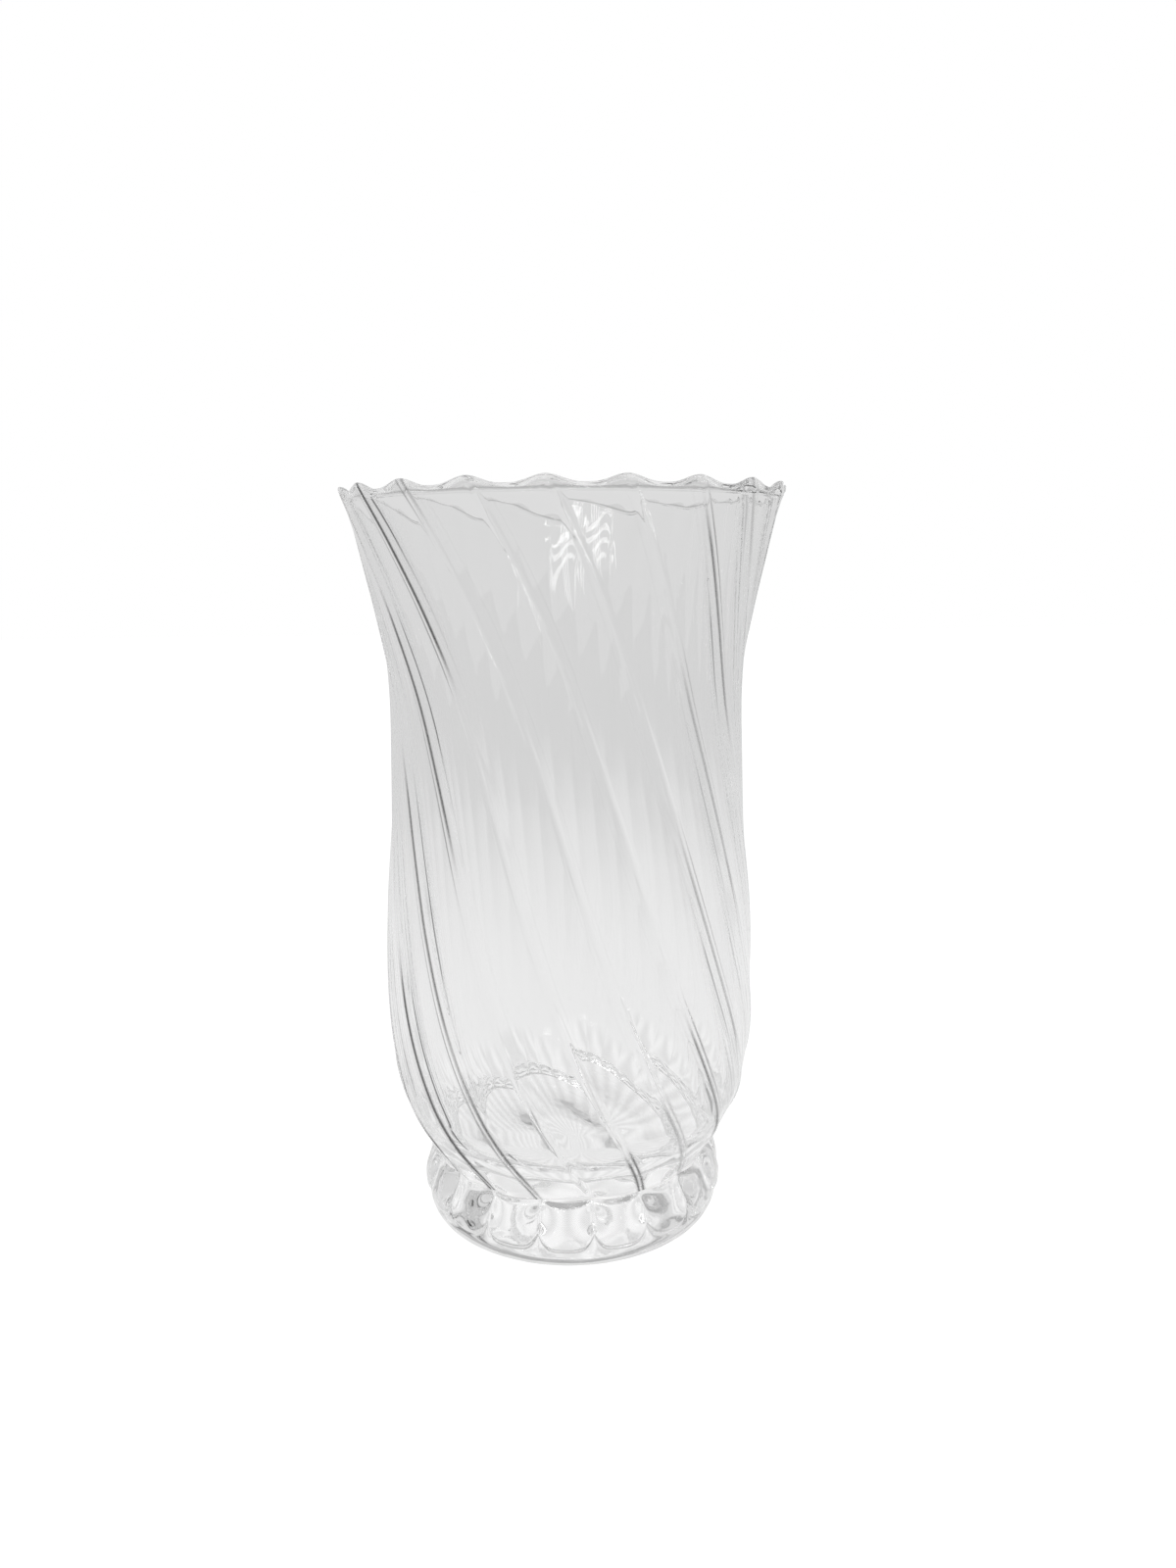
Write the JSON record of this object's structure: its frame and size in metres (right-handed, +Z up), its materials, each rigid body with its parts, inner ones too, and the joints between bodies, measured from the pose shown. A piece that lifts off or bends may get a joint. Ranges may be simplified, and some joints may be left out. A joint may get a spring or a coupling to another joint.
{
  "type": "hurricane vase",
  "caption": "Clear blown glass hurricane vase with swirled ribs, a flared scalloped rim and a lobed cushion foot, for flowers or a candle.",
  "frame": {"origin": "middle of the plane that the foot rests on", "axes": "+Z up along the axis of the vase; the picture looks from the -Y side with +X to the right"},
  "size_m": [0.139, 0.139, 0.24],
  "materials": {
    "bowl_glass": "clear colourless, fire-polished",
    "foot_glass": "clear colourless, thick"
  },
  "bodies": {
    "root": {"swirl_bowl": "bowl_glass", "cushion_foot": "foot_glass"}
  },
  "joints": []
}
